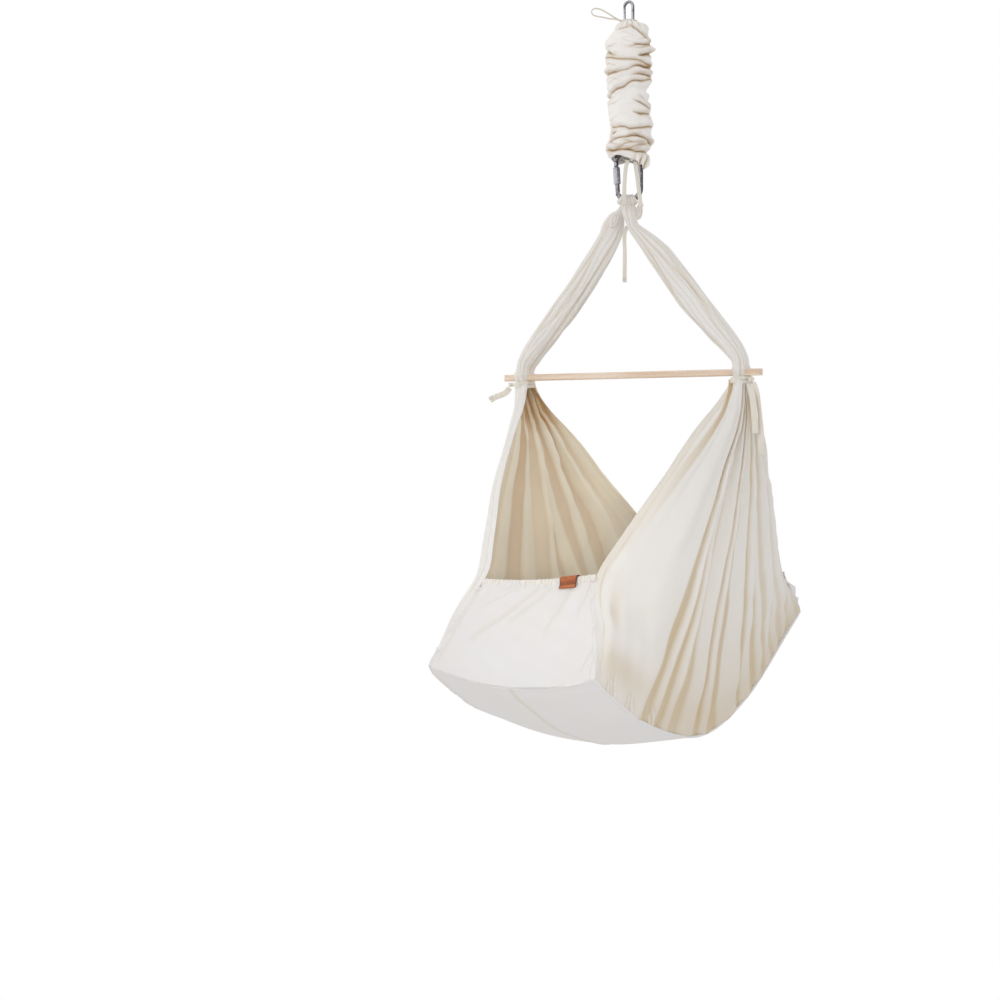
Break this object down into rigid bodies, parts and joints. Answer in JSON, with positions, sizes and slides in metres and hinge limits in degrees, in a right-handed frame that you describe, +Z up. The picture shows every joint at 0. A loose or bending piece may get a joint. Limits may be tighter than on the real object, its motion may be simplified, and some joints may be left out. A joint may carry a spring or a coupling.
{
  "type": "hanging baby cradle",
  "caption": "Cotton hammock cradle on a wooden spreader bar, hung by a screw-lock carabiner from a spring in a ruched cloth cover with a snap hook on top.",
  "frame": {"origin": "inside top of the snap hook, where it rests on a ceiling hook", "axes": "+Z up, X along the spreader bar, the front end panel towards -Y"},
  "size_m": [0.6385, 0.7808, 1.4521],
  "materials": {
    "steel": "polished, slightly worn",
    "spring_steel": "dark drawn wire",
    "cotton_cover": "thin woven cotton, ruched",
    "cotton_canvas": "matte woven cotton",
    "cotton_tape": "flat woven tape",
    "pad_cotton": "soft quilted cotton",
    "elastic": "covered elastic",
    "beech": "fine sanded, clear oiled",
    "tan_leather": "smooth, burnished edges",
    "snap_metal": "plated press studs"
  },
  "bodies": {
    "hook": {"top_hook_body": "steel", "top_hook_gate_pin": "steel"},
    "hook_gate": {"top_hook_gate": "steel"},
    "spring_unit": {"extension_spring": "spring_steel", "spring_cover": "cotton_cover", "cover_drawstring": "cotton_tape", "drawstring_loop": "cotton_tape"},
    "carabiner": {"carabiner_body": "steel", "carabiner_gate_pin": "steel", "cover_lower_drawstring": "cotton_tape", "cover_tape_left": "cotton_tape", "cover_tape_right": "cotton_tape"},
    "carabiner_gate_arm": {"carabiner_gate": "steel"},
    "lock_sleeve": {"carabiner_lock_sleeve": "steel"},
    "hammock": {"right_side_cloth": "cotton_canvas", "left_side_cloth": "cotton_canvas", "front_panel": "cotton_canvas", "rear_panel": "cotton_canvas", "base_cloth": "cotton_canvas", "base_piping": "cotton_tape", "left_neck_tie": "cotton_tape", "right_neck_tie": "cotton_tape", "left_tie_tail": "cotton_tape", "right_tie_tail_short": "cotton_tape", "right_tie_tail_long": "cotton_tape", "junction_ribbon": "cotton_tape", "front_hem_elastic": "elastic", "rear_hem_elastic": "elastic", "mattress_pad": "pad_cotton", "leather_tag": "tan_leather", "front_stud_left_1": "snap_metal", "front_stud_left_2": "snap_metal", "front_stud_left_3": "snap_metal", "front_stud_right_1": "snap_metal", "front_stud_right_2": "snap_metal", "front_stud_right_3": "snap_metal", "rear_stud_left_1": "snap_metal", "rear_stud_left_2": "snap_metal", "rear_stud_left_3": "snap_metal", "rear_stud_right_1": "snap_metal", "rear_stud_right_2": "snap_metal", "rear_stud_right_3": "snap_metal"},
    "bar": {"spreader_bar": "beech"}
  },
  "joints": [
    {"name": "hook_gate_hinge", "type": "hinge", "parent": "hook", "child": "hook_gate", "pos_m": [-0.00968, 0, -0.0435], "axis": [0, 1, 0], "range_deg": [0, 25], "stiffness_Nm_per_rad": 0.3, "springref_deg": -11.46},
    {"name": "spring_swing", "type": "hinge", "parent": "hook", "child": "spring_unit", "pos_m": [0, 0, -0.051], "axis": [1, 0, 0], "range_deg": [-15, 15]},
    {"name": "bounce", "type": "slide", "parent": "spring_unit", "child": "carabiner", "axis": [0, 0, -1], "range_m": [0, 0.2], "stiffness_N_per_m": 500, "springref_m": -0.12, "deforming": ["extension_spring", "spring_cover"]},
    {"name": "carabiner_gate_hinge", "type": "hinge", "parent": "carabiner", "child": "carabiner_gate_arm", "pos_m": [-0.01628, -0.01245, -0.37275], "axis": [-0.6074, 0.7944, 0], "range_deg": [0, 25], "stiffness_Nm_per_rad": 1, "springref_deg": -11.46},
    {"name": "lock_sleeve_slide", "type": "slide", "parent": "carabiner_gate_arm", "child": "lock_sleeve", "axis": [-0.0478, -0.0365, 0.9982], "range_m": [0, 0.008]},
    {"name": "cradle_swing", "type": "hinge", "parent": "carabiner", "child": "hammock", "pos_m": [0, 0, -0.3845], "axis": [0.7944, 0.6074, 0], "range_deg": [-15, 15]},
    {"name": "bar_slide", "type": "slide", "parent": "hammock", "child": "bar", "axis": [1, 0, 0], "range_m": [0, 0.6]}
  ]
}
